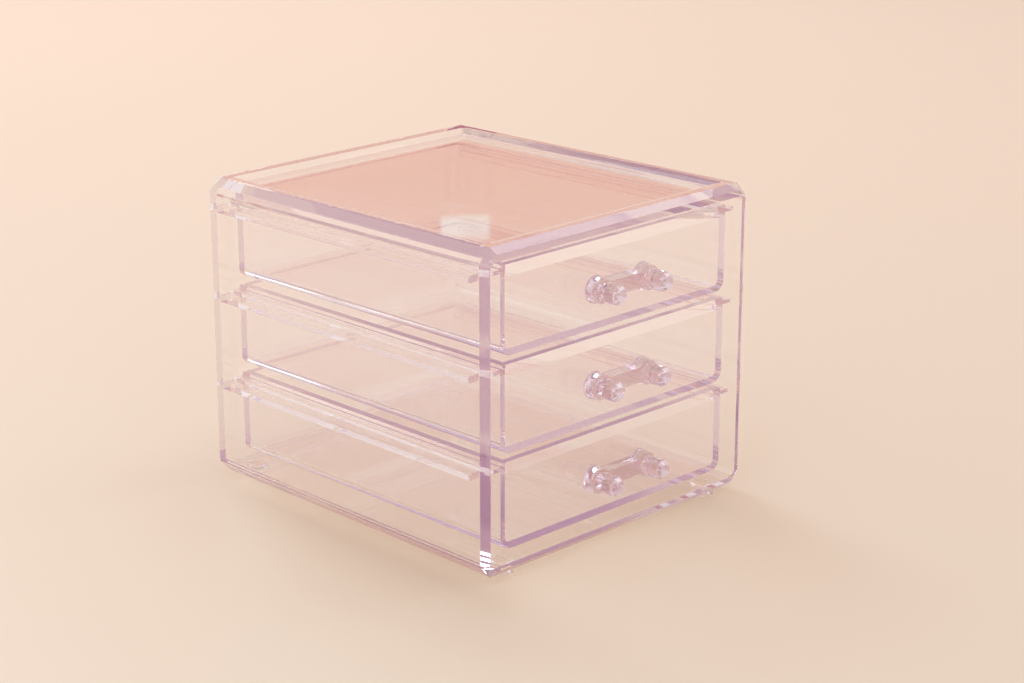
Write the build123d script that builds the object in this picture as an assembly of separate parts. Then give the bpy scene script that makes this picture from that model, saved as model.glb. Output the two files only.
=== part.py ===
from build123d import *
import os

# Three-drawer clear box, in millimetres.
# The drawers open towards -Y and +Z is up. The origin is the bottom centre of the whole
# box with its pulls, on the surface that the feet stand on.

# Drawer trays
tray_names = ["bottom", "middle", "top"]
tray_width = 133.0
tray_depth = 163.0
tray_height = 37.4
tray_side_wall = 2.5
tray_front_wall = 2.4
tray_back_wall = 2.4
tray_floor = 2.4
tray_bottom_radius = 4.5
tray_inner_radius = 2.4
lip_height = 5.5
lip_thickness = 1.0
flange_reach = 5.0
flange_thickness = 1.7
flange_drop = 1.5

# Drawer pulls
post_spacing = 28.0
pull_height = 17.0
pull_disc_radius = 6.0
pull_disc_draft = 8.0
pull_base_depth = 4.8
pull_bar_height = 8.0
pull_bar_blend = 2.0
post_radius = 4.25
post_length = 8.6
crown_length = 1.6
crown_tip_radius = 2.7
crystal_sides = 8

# Casing walls
side_wall = 3.2
back_wall = 2.4
floor_thickness = 4.7
roof_panel = 2.6
long_edge_chamfer = 5.6
cavity_chamfer = 2.0
front_bevel = 2.8

# Raised rim round the recessed top panel
rim_height = 3.0
side_rim_land = 3.2
front_rim_land = 4.8
back_rim_land = 5.0
recess_corner_radius = 2.0

# Rails that carry the tray flanges
rail_thickness = 3.0
rail_front_setback = 10.0
rail_nose_radius = 6.0

# Feet
foot_width = 6.0
foot_length = 8.0
foot_height = 3.0
foot_chamfer = 0.6
foot_side_inset = 14.0
foot_end_inset = 4.0

# Clearances
flange_side_gap = 4.3
tray_front_setback = 2.8
tray_rear_gap = 2.8
gap_under_lowest_tray = 4.7
gap_between_trays = 3.4
gap_over_top_tray = 3.0
rail_running_gap = 0.3
rail_side_gap = 0.8

# Casing outline, worked out from the trays and the clearances round them
flanged_width = tray_width + 2 * flange_reach
cavity_half_width = flanged_width / 2 + flange_side_gap
casing_half_width = cavity_half_width + side_wall
casing_depth = tray_front_setback + tray_depth + tray_rear_gap + back_wall
pull_overhang = pull_base_depth + post_length + crown_length - tray_front_setback
casing_front = (pull_overhang - casing_depth) / 2
casing_back = casing_front + casing_depth
cavity_back = casing_back - back_wall
tray_front = casing_front + tray_front_setback

# Levels, upwards from the surface that the feet stand on
underside = foot_height
cavity_bottom = underside + floor_thickness
tray_pitch = tray_height + gap_between_trays
tray_bottoms = [
    cavity_bottom + gap_under_lowest_tray + step * tray_pitch for step in range(len(tray_names))
]
cavity_top = tray_bottoms[-1] + tray_height + gap_over_top_tray
panel_top = cavity_top + roof_panel
casing_top = panel_top + rim_height


def along_depth(section, front, back):
    """Run a section drawn in X and Z from y = front to y = back."""
    return extrude(Plane.XZ.offset(-front) * section, amount=front - back)


def block(left, right, front, back, bottom, top):
    """Plain block between six planes."""
    middle = Pos((left + right) / 2, (front + back) / 2, (bottom + top) / 2)
    return middle * Box(right - left, back - front, top - bottom)


def upright_rectangle(half_width, bottom, top):
    """Rectangle in X and Z, centred on x = 0."""
    return Pos(0, (bottom + top) / 2) * Rectangle(2 * half_width, top - bottom)


def casing_shell():
    """Outer body with chamfered long edges and a bevelled front ring."""
    outline = upright_rectangle(casing_half_width, underside, casing_top)
    body = along_depth(chamfer(outline.vertices(), long_edge_chamfer), casing_front, casing_back)
    body = chamfer(body.faces().sort_by(Axis.Y)[0].edges(), front_bevel)
    opening = upright_rectangle(cavity_half_width, cavity_bottom, cavity_top)
    return body - along_depth(chamfer(opening.vertices(), cavity_chamfer), casing_front, cavity_back)


def top_recess():
    """Space over the top panel, inside the raised rim."""
    half_width = casing_half_width - long_edge_chamfer - side_rim_land
    front = casing_front + front_bevel + front_rim_land
    back = casing_back - back_rim_land
    plan = RectangleRounded(2 * half_width, back - front, recess_corner_radius)
    return extrude(Pos(0, (front + back) / 2, panel_top) * plan, amount=rim_height)


def rail(tray_bottom):
    """Left-hand rail under one tray's flange, with a rounded nose towards the front."""
    top = tray_bottom + tray_height - flange_drop - flange_thickness - rail_running_gap
    inner_edge = -tray_width / 2 - rail_side_gap
    front = casing_front + rail_front_setback
    bar = block(-cavity_half_width, inner_edge, front, cavity_back, top - rail_thickness, top)
    nose = bar.edges().filter_by(Axis.Z).sort_by(Axis.Y)[:2].sort_by(Axis.X)[-1]
    return fillet(nose, min(rail_nose_radius, inner_edge + cavity_half_width))


def foot(side, end):
    """Small moulded foot; side is -1 or 1 across the width and end is -1 or 1 along the depth."""
    centre_x = side * (casing_half_width - foot_side_inset - foot_width / 2)
    reach_y = casing_depth / 2 - foot_end_inset - foot_length / 2
    centre_y = (casing_front + casing_back) / 2 + end * reach_y
    shape = Pos(centre_x, centre_y, foot_height / 2) * Box(foot_width, foot_length, foot_height)
    return chamfer(shape.faces().sort_by(Axis.Z)[0].edges(), foot_chamfer)


def casing():
    """Shell, recessed top panel, six rails and four feet, moulded as one piece."""
    body = casing_shell() - top_recess()
    for tray_bottom in tray_bottoms:
        left_rail = rail(tray_bottom)
        body += left_rail
        body += mirror(left_rail, about=Plane.YZ)
    for side in (-1, 1):
        for end in (-1, 1):
            body += foot(side, end)
    return body


def tray_hollow(bottom):
    """Space inside a tray, narrowed towards the top by the thickened lip of the walls."""
    top = bottom + tray_height
    lip_start = top - lip_height
    front = tray_front + tray_front_wall
    back = tray_front + tray_depth - tray_back_wall
    half_width = tray_width / 2 - tray_side_wall
    inside = upright_rectangle(half_width, bottom + tray_floor, lip_start)
    inside = fillet(inside.vertices().sort_by(Axis.Y)[:2], tray_inner_radius)
    wide = Pos(0, (front + back) / 2, lip_start) * Rectangle(2 * half_width, back - front)
    narrowing = 2 * lip_thickness
    narrow = Rectangle(2 * half_width - narrowing, back - front - narrowing)
    mouth = Pos(0, (front + back) / 2, top) * narrow
    return along_depth(inside, front, back) + loft([wide, mouth])


def tray(bottom):
    """Open tray with rounded long bottom corners and a flange along each side."""
    top = bottom + tray_height
    back = tray_front + tray_depth
    outline = upright_rectangle(tray_width / 2, bottom, top)
    outline = fillet(outline.vertices().sort_by(Axis.Y)[:2], tray_bottom_radius)
    flange_top = top - flange_drop
    outline += upright_rectangle(flanged_width / 2, flange_top - flange_thickness, flange_top)
    return along_depth(outline, tray_front, back) - tray_hollow(bottom)


def pull_base_outline():
    """Two discs joined by a bar, with the inner corners blended."""
    discs = Pos(-post_spacing / 2, 0) * Circle(pull_disc_radius)
    discs += Pos(post_spacing / 2, 0) * Circle(pull_disc_radius)
    outline = discs + Rectangle(post_spacing, pull_bar_height)
    corners = outline.vertices().filter_by(lambda v: abs(v.X) < post_spacing / 2)
    return fillet(corners, pull_bar_blend)


def crystal_post():
    """Eight-sided post with a cut tip, standing on z = 0."""
    shaft = RegularPolygon(post_radius, crystal_sides, rotation=180 / crystal_sides)
    tip = RegularPolygon(crown_tip_radius, crystal_sides, rotation=180 / crystal_sides)
    crown = loft([Pos(0, 0, post_length) * shaft, Pos(0, 0, post_length + crown_length) * tip])
    return extrude(shaft, amount=post_length) + crown


def pull(tray_bottom):
    """Drawer pull with two crystal-cut posts, seated on its tray's front."""
    body = extrude(pull_base_outline(), amount=pull_base_depth, taper=pull_disc_draft)
    for side in (-1, 1):
        body += Pos(side * post_spacing / 2, 0, pull_base_depth) * crystal_post()
    seat = Plane.XZ.offset(-tray_front) * Pos(0, tray_bottom + pull_height)
    return seat * body


os.makedirs("parts", exist_ok=True)
export_step(casing(), "parts/casing.step")
for tray_name, tray_bottom in zip(tray_names, tray_bottoms):
    export_step(tray(tray_bottom), f"parts/drawer_{tray_name}.step")
    export_step(pull(tray_bottom), f"parts/pull_{tray_name}.step")
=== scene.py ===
import math

import bpy
from mathutils import Euler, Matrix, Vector

bl_info = {
    "name": "Clear Drawer Box",
    "version": (1, 0, 0),
    "blender": (4, 5, 0),
    "location": "View3D > Sidebar > Drawer Box",
    "description": "Finishes a clear plastic box with sliding drawers and sets its studio",
    "category": "Object",
}

MM = 0.001
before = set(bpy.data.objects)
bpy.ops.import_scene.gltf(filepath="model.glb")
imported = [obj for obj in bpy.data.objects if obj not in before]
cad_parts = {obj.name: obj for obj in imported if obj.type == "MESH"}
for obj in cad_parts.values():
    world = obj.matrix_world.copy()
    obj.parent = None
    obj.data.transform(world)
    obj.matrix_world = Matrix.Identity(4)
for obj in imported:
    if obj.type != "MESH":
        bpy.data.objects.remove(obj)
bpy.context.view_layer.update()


# ---------------------------------------------------------------- fixed values

# Plastic. Noise scales are per metre.
RIPPLE_NOISE = {"Scale": 28.0, "Detail": 1.0}
PEEL_NOISE = {"Scale": 260.0, "Detail": 2.0}
PEEL_SHARE = 0.08
SCUFF_NOISE = {"Scale": 45.0, "Detail": 5.0}
SCUFF_START = 0.62
SCUFF_ROUGHNESS = 0.06
GRAZING_FALLOFF = 3.0

# Modifiers of the CAD pieces.
WELD_DISTANCE = 0.001 * MM
BEVEL_SEGMENTS = 3
BEVEL_ANGLE = math.radians(25)

# Floor.
FLOOR_SIZE = 12.0
FLOOR_ROUGHNESS = 0.45
FLOOR_SPECULAR = 0.3

# Surroundings. Two level directions, and then where along a direction each fade starts and ends.
BEHIND = (0.65, 0.76, 0.0)
ACROSS = (0.72, -0.694, 0.0)
WALL_TOP = (0.55, 0.3)
WALL_SIDE = (-0.1, 0.35)
WINDOW_FOOT = (0.248, 0.252)
WINDOW_HEAD = (0.262, 0.258)
WINDOW_LEFT = (-0.0125, -0.0095)
WINDOW_RIGHT = (0.0125, 0.0095)

# Lamps. The low one alone may show through the plastic.
LAMP_AIM = (0.0, 0.0, 0.07)
LAMPS = {
    "back": {"place": (0.5, 1.9, 1.9), "size": (1.1, 0.9), "through_plastic": False},
    "right": {"place": (1.7, -0.5, 2.1), "size": (1.0, 1.0), "through_plastic": False},
    "left": {"place": (-1.9, -0.4, 2.1), "size": (1.2, 1.2), "through_plastic": False},
    "low": {"place": (1.24, -1.51, 0.48), "size": (0.9, 0.16), "through_plastic": True},
}

# Camera and light paths.
SENSOR_WIDTH = 36.0
TURNS_ALLOWED = 24
CLEAR_FACES_ALLOWED = 48


# ---------------------------------------------------------------- shader maths


class Wire:
    """An output socket that Python arithmetic works on; each operation adds one Math node."""

    def __init__(self, shader, socket):
        self.shader = shader
        self.socket = socket

    def maths(self, operation, first, second):
        return self.shader.node("ShaderNodeMath", {"operation": operation}, {0: first, 1: second})

    def __add__(self, other):
        return self.maths("ADD", self, other)

    __radd__ = __add__

    def __mul__(self, other):
        return self.maths("MULTIPLY", self, other)

    __rmul__ = __mul__

    def __pow__(self, other):
        return self.maths("POWER", self, other)

    def __gt__(self, other):
        return self.maths("GREATER_THAN", self, other)

    def largest(self, other):
        return self.maths("MAXIMUM", self, other)


class Shader:
    """A node tree, emptied and filled through one method."""

    def __init__(self, owner):
        owner.use_nodes = True
        self.tree = owner.node_tree
        self.tree.nodes.clear()

    def node(self, kind, settings=None, inputs=None, output=0):
        """Add a node: settings first, then the values or links of its sockets."""
        made = self.tree.nodes.new(kind)
        for name, value in (settings or {}).items():
            setattr(made, name, value)
        for name, value in (inputs or {}).items():
            if isinstance(value, Wire):
                self.tree.links.new(value.socket, made.inputs[name])
            else:
                made.inputs[name].default_value = value
        return Wire(self, made.outputs[output]) if made.outputs else None

    def light_path(self, output):
        """What kind of ray meets the surface, or how often it has turned."""
        return self.node("ShaderNodeLightPath", output=output)

    def along(self, direction, axis):
        """How far one direction goes along another."""
        settings = {"operation": "DOT_PRODUCT"}
        return self.node("ShaderNodeVectorMath", settings, {0: direction, 1: axis}, output="Value")

    def fade(self, value, start, end):
        """Rise smoothly from 0 at start to 1 at end, or fall where start is the larger."""
        settings = {"interpolation_type": "SMOOTHSTEP"}
        limits = {"Value": value, "From Min": start, "From Max": end}
        return self.node("ShaderNodeMapRange", settings, limits, output="Result")

    def blend(self, share, first, second):
        """Mix two colours."""
        sides = [side if isinstance(side, Wire) else (*side, 1.0) for side in (first, second)]
        inputs = {0: share, 6: sides[0], 7: sides[1]}
        return self.node("ShaderNodeMix", {"data_type": "RGBA"}, inputs, output=2)

    def mix_shaders(self, share, first, second):
        """Mix two shaders."""
        return self.node("ShaderNodeMixShader", inputs={0: share, 1: first, 2: second})

    def straight_through(self, colour):
        """Let light pass unbent, in one colour."""
        return self.node("ShaderNodeBsdfTransparent", inputs={"Color": (*colour, 1.0)})


# ---------------------------------------------------------------- properties


def colour_property(name, description, default):
    """A colour."""
    return bpy.props.FloatVectorProperty(
        name=name, description=description, default=default,
        subtype="COLOR", size=3, min=0.0, max=1.0,
    )


def length_property(name, description, default):
    """A length in metres."""
    return bpy.props.FloatProperty(
        name=name, description=description, default=default,
        subtype="DISTANCE", unit="LENGTH", min=0.0,
    )


def power_property(name, description, default):
    """A lamp's power in watts."""
    return bpy.props.FloatProperty(
        name=name, description=description, default=default, unit="POWER", min=0.0,
    )


def angle_property(name, description, degrees):
    """An angle, with its default in degrees."""
    return bpy.props.FloatProperty(
        name=name, description=description, default=math.radians(degrees),
        subtype="ANGLE", unit="ROTATION",
    )


class ClearPlasticLook(bpy.types.PropertyGroup):
    clear_colour: colour_property(
        "Clear colour",
        "Colour of what shows through one face of the casing or of a drawer",
        (1.0, 0.995, 1.0),
    )
    pull_colour: colour_property(
        "Pull colour",
        "Colour of what shows through one face of a pull",
        (0.82, 0.71, 0.76),
    )
    casing_edge_colour: colour_property(
        "Casing tint",
        "Colour that the casing's plastic takes where light runs along it",
        (0.53, 0.35, 0.50),
    )
    drawer_edge_colour: colour_property(
        "Drawer tint",
        "Colour that the plastic of the drawers and pulls takes where light runs along it",
        (0.50, 0.35, 0.70),
    )
    tint_density: bpy.props.FloatProperty(
        name="Tint density",
        description="How strongly the plastic takes its tint, per metre",
        default=4.2, min=0.0,
    )
    shade_colour: colour_property(
        "Shade colour",
        "Colour that each face gives the lamps' light",
        (0.99, 0.983, 0.974),
    )
    grazing_shade_colour: colour_property(
        "Grazing shade colour",
        "Colour that a face gives the lamps' light where it runs along the face",
        (0.68, 0.56, 0.46),
    )
    caught_colour: colour_property(
        "Caught light colour",
        "Colour that each face gives light that was caught in the walls",
        (0.965, 0.943, 0.972),
    )
    turns_held: bpy.props.IntProperty(
        name="Turns held",
        description="How often light is mirrored in the walls before it leaves them straight",
        default=5, min=1,
    )
    refraction: bpy.props.FloatProperty(
        name="Refraction index",
        description="Refraction index of the moulded plastic",
        default=1.49, min=1.0, max=2.5,
    )
    edge_radius: length_property(
        "Edge radius",
        "Radius of the moulded edges",
        0.4 * MM,
    )
    crystal_edge_radius: length_property(
        "Crystal edge radius",
        "Radius of the edges between the facets of the pulls",
        0.12 * MM,
    )
    seat_gap: length_property(
        "Seat gap",
        "Hair of air between a pull and its drawer",
        0.03 * MM,
    )
    ripple_height: length_property(
        "Ripple height",
        "Height of the faint ripples that moulding leaves on the walls",
        0.012 * MM,
    )


class StudioLook(bpy.types.PropertyGroup):
    floor_colour: colour_property(
        "Floor colour",
        "Colour of the floor",
        (0.84, 0.70, 0.58),
    )
    wall_colour: colour_property(
        "Wall colour",
        "Colour of the surroundings behind the box, as clear and glossy parts show it",
        (0.72, 0.21, 0.13),
    )
    wall_through_colour: colour_property(
        "Wall colour through plastic",
        "Colour of the same surroundings where light has come through the plastic",
        (0.80, 0.52, 0.43),
    )
    ceiling_colour: colour_property(
        "Ceiling colour",
        "Colour of the surroundings in front and overhead",
        (1.0, 0.95, 0.92),
    )
    window_colour: colour_property(
        "Window colour",
        "Colour of the small window that the top panel mirrors",
        (0.86, 0.76, 0.70),
    )
    fill_colour: colour_property(
        "Fill colour",
        "Colour of the even light from all round",
        (1.0, 0.96, 0.93),
    )
    fill_strength: bpy.props.FloatProperty(
        name="Fill strength",
        description="Strength of the even light from all round",
        default=0.6, min=0.0,
    )
    back_power: power_property(
        "Back lamp power",
        "Power of the lamp behind, which casts the shadow",
        26.0,
    )
    left_power: power_property(
        "Left lamp power",
        "Power of the lamp on the left",
        10.0,
    )
    right_power: power_property(
        "Right lamp power",
        "Power of the lamp on the right",
        8.0,
    )
    low_power: power_property(
        "Low lamp power",
        "Power of the small low lamp that shows in the drawers' lips",
        0.38,
    )
    camera_place: bpy.props.FloatVectorProperty(
        name="Camera place",
        description="Where the camera stands",
        subtype="TRANSLATION", unit="LENGTH", size=3, default=(-0.65179, -0.66351, 0.36523),
    )
    camera_heading: angle_property(
        "Camera heading",
        "Turn of the view from +Y towards +X",
        40.18,
    )
    camera_dip: angle_property(
        "Camera dip",
        "How far the view points down",
        16.25,
    )
    camera_roll: angle_property(
        "Camera roll",
        "Lean of the camera to its right",
        1.405,
    )
    camera_lens: bpy.props.FloatProperty(
        name="Lens",
        description="Focal length in millimetres on a 36 mm wide sensor",
        default=78.17, min=1.0,
    )
    camera_shift: bpy.props.FloatVectorProperty(
        name="Lens shift",
        description="Shift of the picture, right and up, in widths of the sensor",
        size=2, default=(0.1824, -0.0532),
    )


# ---------------------------------------------------------------- materials


def ripple_normal(shader, ripple_height):
    """Faint, broad ripples with finer orange-peel on top, as on moulded walls."""
    place = shader.node("ShaderNodeTexCoord", output="Object")
    ripples = shader.node("ShaderNodeTexNoise", inputs={"Vector": place, **RIPPLE_NOISE})
    peel = shader.node("ShaderNodeTexNoise", inputs={"Vector": place, **PEEL_NOISE})
    height = ripples + PEEL_SHARE * peel
    bump = {"Height": height, "Strength": 1.0, "Distance": ripple_height}
    return shader.node("ShaderNodeBump", inputs=bump)


def scuff_roughness(shader):
    """Polished, with small rubbed patches."""
    place = shader.node("ShaderNodeTexCoord", output="Object")
    rubbed = shader.node("ShaderNodeTexNoise", inputs={"Vector": place, **SCUFF_NOISE})
    return SCUFF_ROUGHNESS * (rubbed > SCUFF_START)


def clear_plastic(name, colour, tint, look):
    """Clear moulded plastic with a tint that builds up with the length of the way through it.

    Light from lamps and from lit surfaces goes straight through, so that the shadow stays pale,
    and light that stays caught between two faces leaves straight through them, a little tinted.
    """
    material = bpy.data.materials.new(name)
    shader = Shader(material)
    plastic = shader.node(
        "ShaderNodeBsdfPrincipled",
        inputs={
            "Base Color": (*colour, 1.0),
            "Roughness": scuff_roughness(shader),
            "IOR": look.refraction,
            "Transmission Weight": 1.0,
            "Normal": ripple_normal(shader, look.ripple_height),
        },
    )
    lamp_ray = shader.light_path("Is Shadow Ray")
    lit_ray = shader.light_path("Is Diffuse Ray")
    caught = shader.light_path("Glossy Depth") > look.turns_held
    grazing = shader.node("ShaderNodeLayerWeight", inputs={"Blend": 0.5}, output="Facing")
    shade = shader.mix_shaders(
        grazing**GRAZING_FALLOFF,
        shader.straight_through(look.shade_colour),
        shader.straight_through(look.grazing_shade_colour),
    )
    straight = shader.mix_shaders(caught, shade, shader.straight_through(look.caught_colour))
    surface = shader.mix_shaders(lamp_ray.largest(lit_ray).largest(caught), plastic, straight)
    absorption = {"Color": (*tint, 1.0), "Density": look.tint_density}
    inside = shader.node("ShaderNodeVolumeAbsorption", inputs=absorption)
    shader.node("ShaderNodeOutputMaterial", inputs={"Surface": surface, "Volume": inside})
    return material


def floor_material(colour):
    """Plain pale table top with a soft sheen."""
    material = bpy.data.materials.new("pale_floor")
    shader = Shader(material)
    plain = shader.node(
        "ShaderNodeBsdfPrincipled",
        inputs={
            "Base Color": (*colour, 1.0),
            "Roughness": FLOOR_ROUGHNESS,
            "Specular IOR Level": FLOOR_SPECULAR,
        },
    )
    shader.node("ShaderNodeOutputMaterial", inputs={"Surface": plain})
    return material


# ---------------------------------------------------------------- helpers


def body_nodes(prefix):
    """CAD pieces whose names start with a word."""
    return [piece for name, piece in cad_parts.items() if name.startswith(prefix)]


def finish_piece(piece, material, edge_radius):
    """Give a CAD piece its material and its small moulded edge radius."""
    for slot in piece.material_slots:
        slot.material = material
    weld = piece.modifiers.new("join_faces", "WELD")
    weld.merge_threshold = WELD_DISTANCE
    bevel = piece.modifiers.new("edge_radius", "BEVEL")
    bevel.width = edge_radius
    bevel.segments = BEVEL_SEGMENTS
    bevel.limit_method = "ANGLE"
    bevel.angle_limit = BEVEL_ANGLE
    bevel.harden_normals = True


def clear_seat(piece, gap):
    """Draw a piece's faces in by a hair, so that it doesn't share a face with what it sits on."""
    inset = piece.modifiers.new("seat_gap", "DISPLACE")
    inset.mid_level = 0.0
    inset.strength = -gap


def area_lamp(name, power, place, size, through_plastic):
    """Rectangular soft lamp that points at the box."""
    lamp = bpy.data.lights.new(name, "AREA")
    lamp.shape = "RECTANGLE"
    lamp.size, lamp.size_y = size
    lamp.energy = power
    holder = bpy.data.objects.new(name, lamp)
    holder.location = place
    holder.visible_transmission = through_plastic
    holder.rotation_euler = (Vector(LAMP_AIM) - Vector(place)).to_track_quat("-Z", "Y").to_euler()
    bpy.context.collection.objects.link(holder)


# ---------------------------------------------------------------- operators


class BOX_OT_finish_casing(bpy.types.Operator):
    """Finish the casing as clear moulded plastic"""

    bl_idname = "drawer_box.finish_casing"
    bl_label = "Finish casing"

    def execute(self, context):
        look = context.scene.clear_plastic_look
        material = clear_plastic("casing_plastic", look.clear_colour, look.casing_edge_colour, look)
        for piece in body_nodes("casing"):
            finish_piece(piece, material, look.edge_radius)
        return {"FINISHED"}


class BOX_OT_finish_drawers(bpy.types.Operator):
    """Finish the sliding trays as clear moulded plastic"""

    bl_idname = "drawer_box.finish_drawers"
    bl_label = "Finish drawers"

    def execute(self, context):
        look = context.scene.clear_plastic_look
        material = clear_plastic("drawer_plastic", look.clear_colour, look.drawer_edge_colour, look)
        for piece in body_nodes("drawer_"):
            finish_piece(piece, material, look.edge_radius)
        return {"FINISHED"}


class BOX_OT_finish_pulls(bpy.types.Operator):
    """Finish the crystal-cut pulls"""

    bl_idname = "drawer_box.finish_pulls"
    bl_label = "Finish pulls"

    def execute(self, context):
        look = context.scene.clear_plastic_look
        material = clear_plastic("pull_plastic", look.pull_colour, look.drawer_edge_colour, look)
        for piece in body_nodes("pull_"):
            finish_piece(piece, material, look.crystal_edge_radius)
            clear_seat(piece, look.seat_gap)
        return {"FINISHED"}


class BOX_OT_set_stage(bpy.types.Operator):
    """Set the floor, the surroundings, the lamps and the camera"""

    bl_idname = "drawer_box.set_stage"
    bl_label = "Set stage"

    def execute(self, context):
        studio = context.scene.studio_look
        self.lay_floor(studio)
        self.light_world(context.scene, studio)
        self.place_lamps(studio)
        self.place_camera(context.scene, studio)
        self.allow_clear_layers(context.scene)
        return {"FINISHED"}

    @staticmethod
    def lay_floor(studio):
        """A plain floor that reaches past the picture."""
        bpy.ops.mesh.primitive_plane_add(size=FLOOR_SIZE)
        floor = bpy.context.object
        floor.name = "floor"
        floor.data.materials.append(floor_material(studio.floor_colour))

    @staticmethod
    def light_world(scene, studio):
        """Even light for the lit surfaces, and a soft backdrop for what is seen or mirrored."""
        world = bpy.data.worlds.new("studio")
        scene.world = world
        shader = Shader(world)
        direction = shader.node("ShaderNodeTexCoord", output="Generated")
        height = shader.node("ShaderNodeSeparateXYZ", inputs={0: direction}, output="Z")
        behind = shader.along(direction, BEHIND)
        across = shader.along(direction, ACROSS)
        wall = shader.fade(height, *WALL_TOP) * shader.fade(behind, *WALL_SIDE)
        window = (
            shader.fade(height, *WINDOW_FOOT) * shader.fade(height, *WINDOW_HEAD)
            * shader.fade(across, *WINDOW_LEFT) * shader.fade(across, *WINDOW_RIGHT)
            * (behind > 0.0)
        )
        camera_ray = shader.light_path("Is Camera Ray")
        glossy_ray = shader.light_path("Is Glossy Ray")
        clear_ray = shader.light_path("Is Transmission Ray")
        inner_ray = clear_ray.largest(shader.light_path("Glossy Depth") > 1.0)
        wall_seen = shader.blend(inner_ray, studio.wall_colour, studio.wall_through_colour)
        sweep = shader.blend(wall, studio.ceiling_colour, wall_seen)
        sweep = shader.blend(window, sweep, studio.window_colour)
        seen = shader.node("ShaderNodeBackground", inputs={"Color": sweep, "Strength": 1.0})
        even = {"Color": (*studio.fill_colour, 1.0), "Strength": studio.fill_strength}
        fill = shader.node("ShaderNodeBackground", inputs=even)
        direct = camera_ray.largest(glossy_ray).largest(clear_ray)
        mixed = shader.mix_shaders(direct, fill, seen)
        shader.node("ShaderNodeOutputWorld", inputs={"Surface": mixed})

    @staticmethod
    def place_lamps(studio):
        """Three broad lamps from above, and a low one that shows in the drawers' lips."""
        for side, placing in LAMPS.items():
            area_lamp(f"{side}_lamp", getattr(studio, f"{side}_power"), **placing)

    @staticmethod
    def place_camera(scene, studio):
        """A long lens, aimed by heading, dip and roll."""
        camera = bpy.data.cameras.new("camera")
        camera.sensor_width = SENSOR_WIDTH
        camera.lens = studio.camera_lens
        camera.shift_x, camera.shift_y = studio.camera_shift
        holder = bpy.data.objects.new("camera", camera)
        holder.location = studio.camera_place
        turn = Euler((math.pi / 2 - studio.camera_dip, 0.0, -studio.camera_heading)).to_matrix()
        lean = Euler((0.0, 0.0, -studio.camera_roll)).to_matrix()
        holder.rotation_euler = (turn @ lean).to_euler()
        bpy.context.collection.objects.link(holder)
        scene.camera = holder

    @staticmethod
    def allow_clear_layers(scene):
        """Let light pass the many clear walls, and set the plain view."""
        scene.view_settings.view_transform = "Standard"
        scene.cycles.max_bounces = TURNS_ALLOWED
        scene.cycles.glossy_bounces = TURNS_ALLOWED
        scene.cycles.transmission_bounces = TURNS_ALLOWED
        scene.cycles.transparent_max_bounces = CLEAR_FACES_ALLOWED


class BOX_PT_sidebar(bpy.types.Panel):
    """Lists the sizes, the colours and the steps"""

    bl_idname = "BOX_PT_sidebar"
    bl_label = "Clear drawer box"
    bl_space_type = "VIEW_3D"
    bl_region_type = "UI"
    bl_category = "Drawer Box"

    def draw(self, context):
        for group in (context.scene.clear_plastic_look, context.scene.studio_look):
            for name in group.__annotations__:
                self.layout.prop(group, name)
        for operator in OPERATORS:
            self.layout.operator(operator.bl_idname)


# ---------------------------------------------------------------- registration

GROUPS = {"clear_plastic_look": ClearPlasticLook, "studio_look": StudioLook}
OPERATORS = (
    BOX_OT_finish_casing,
    BOX_OT_finish_drawers,
    BOX_OT_finish_pulls,
    BOX_OT_set_stage,
)


def register():
    for name, group in GROUPS.items():
        bpy.utils.register_class(group)
        setattr(bpy.types.Scene, name, bpy.props.PointerProperty(type=group))
    for listed in (*OPERATORS, BOX_PT_sidebar):
        bpy.utils.register_class(listed)


def unregister():
    for listed in (BOX_PT_sidebar, *reversed(OPERATORS)):
        bpy.utils.unregister_class(listed)
    for name, group in GROUPS.items():
        delattr(bpy.types.Scene, name)
        bpy.utils.unregister_class(group)


def main():
    register()
    bpy.ops.drawer_box.finish_casing()
    bpy.ops.drawer_box.finish_drawers()
    bpy.ops.drawer_box.finish_pulls()
    bpy.ops.drawer_box.set_stage()


if __name__ == "__main__":
    main()
